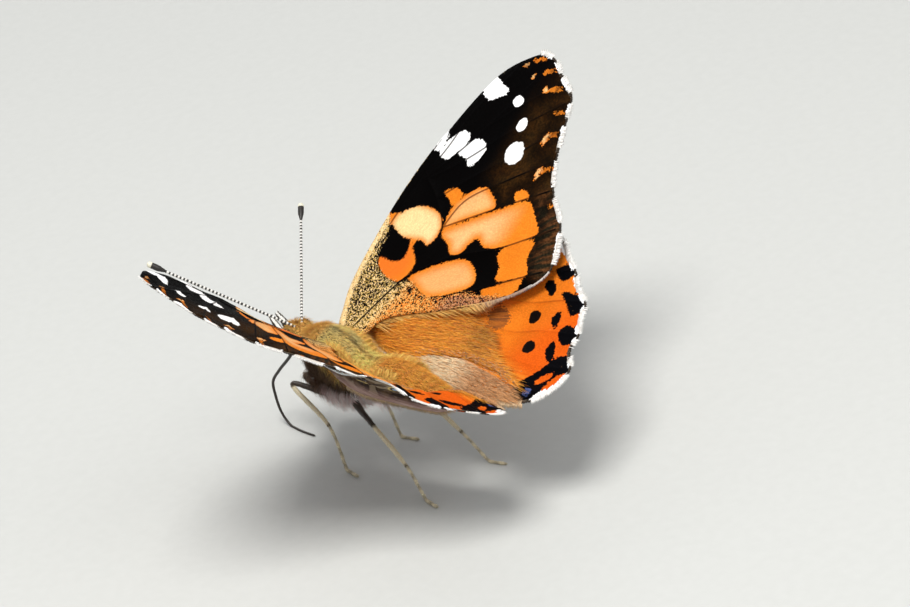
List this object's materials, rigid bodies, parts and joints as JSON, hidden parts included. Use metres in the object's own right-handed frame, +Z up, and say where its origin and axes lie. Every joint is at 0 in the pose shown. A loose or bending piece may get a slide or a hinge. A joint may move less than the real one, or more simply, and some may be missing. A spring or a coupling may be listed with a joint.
{
  "type": "painted lady butterfly",
  "caption": "Life-size still model of a butterfly standing on its legs, wings raised in an open V, feelers forward, tongue uncoiled to the floor.",
  "frame": {"origin": "on the floor under the middle of the butterfly's whole box", "axes": "+Z up, +X to the butterfly's left across the spread wings, -Y the way the head faces"},
  "size_m": [0.0497, 0.0418, 0.0313],
  "materials": {
    "wing_scales": "matt overlapping scales, orange with black and white marks",
    "body_hair": "dense soft tawny and olive hair",
    "eye": "satin, finely faceted",
    "horn": "satin black horn",
    "leg": "fine cream and brown scales"
  },
  "bodies": {
    "root": {"head": "body_hair", "thorax": "body_hair", "abdomen": "body_hair", "eye_left": "eye", "eye_right": "eye", "palp_left": "body_hair", "palp_right": "body_hair", "antenna_left": "horn", "antenna_right": "horn", "proboscis": "horn", "forewing_left": "wing_scales", "forewing_right": "wing_scales", "hindwing_left": "wing_scales", "hindwing_right": "wing_scales", "foreleg_left": "leg", "foreleg_right": "leg", "midleg_left": "leg", "midleg_right": "leg", "hindleg_left": "leg", "hindleg_right": "leg"}
  },
  "joints": []
}
